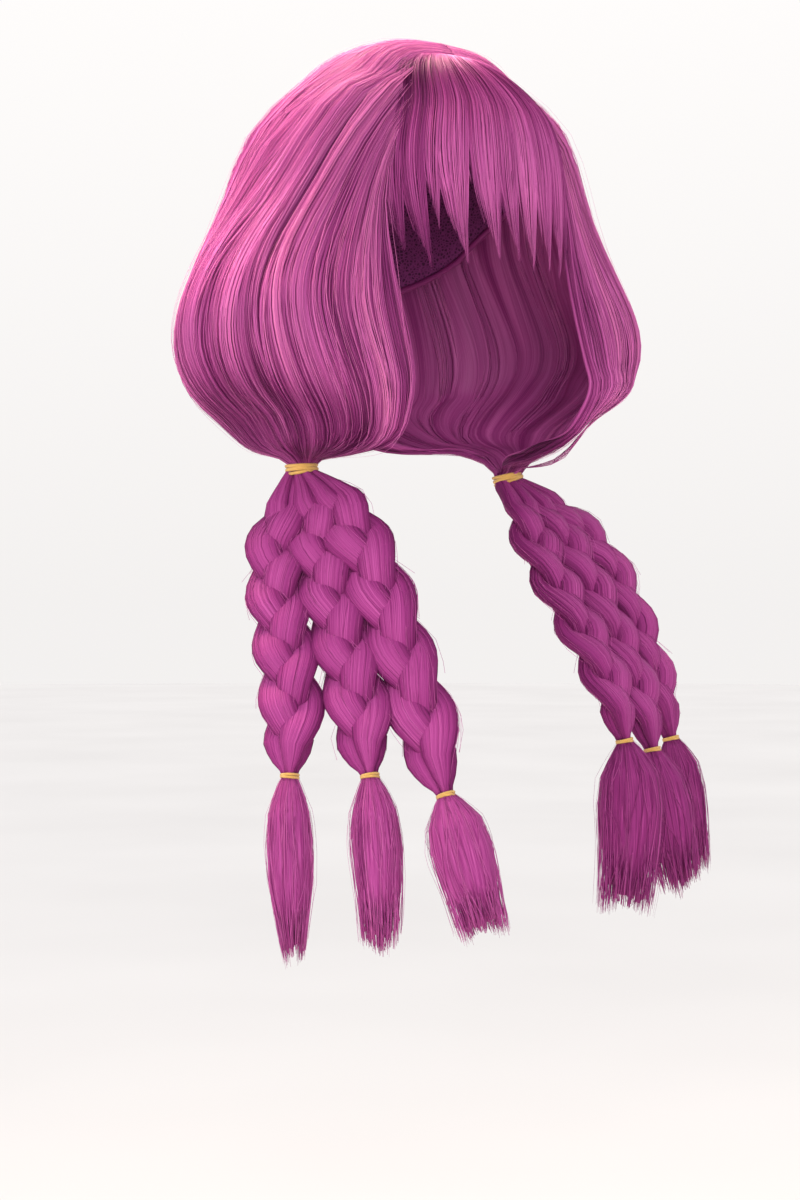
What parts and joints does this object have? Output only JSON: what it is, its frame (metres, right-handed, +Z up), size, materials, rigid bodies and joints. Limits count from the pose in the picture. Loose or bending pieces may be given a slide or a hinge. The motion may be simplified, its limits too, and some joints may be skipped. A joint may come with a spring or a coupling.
{
  "type": "braided wig",
  "caption": "Magenta wig with a pointed fringe, puffed side hair gathered into low bunches, and plaits with elastic ties and tassel ends.",
  "frame": {"origin": "underside of the crown of the cap, where the top of the head sits", "axes": "+Z up; the wearer faces -Y and the wearer's right is -X"},
  "size_m": [0.3195, 0.2499, 0.5027],
  "materials": {
    "hair": "satin synthetic fibre, magenta-purple",
    "cap_net": "matt net with sewn wefts",
    "elastic": "matt mustard elastic"
  },
  "bodies": {
    "root": {"wig_cap": "cap_net", "fringe": "hair", "side_hair_right": "hair", "side_hair_left": "hair", "bunch_tie_right": "elastic", "bunch_tie_left": "elastic", "braid_right_outer_strand_a": "hair", "braid_right_outer_strand_b": "hair", "braid_right_outer_strand_c": "hair", "braid_tie_right_outer": "elastic", "tassel_right_outer": "hair", "braid_right_middle_strand_a": "hair", "braid_right_middle_strand_b": "hair", "braid_right_middle_strand_c": "hair", "braid_tie_right_middle": "elastic", "tassel_right_middle": "hair", "braid_right_inner_strand_a": "hair", "braid_right_inner_strand_b": "hair", "braid_right_inner_strand_c": "hair", "braid_tie_right_inner": "elastic", "tassel_right_inner": "hair", "braid_left_outer_strand_a": "hair", "braid_left_outer_strand_b": "hair", "braid_left_outer_strand_c": "hair", "braid_tie_left_outer": "elastic", "tassel_left_outer": "hair", "braid_left_middle_strand_a": "hair", "braid_left_middle_strand_b": "hair", "braid_left_middle_strand_c": "hair", "braid_tie_left_middle": "elastic", "tassel_left_middle": "hair", "braid_left_inner_strand_a": "hair", "braid_left_inner_strand_b": "hair", "braid_left_inner_strand_c": "hair", "braid_tie_left_inner": "elastic", "tassel_left_inner": "hair"}
  },
  "joints": []
}
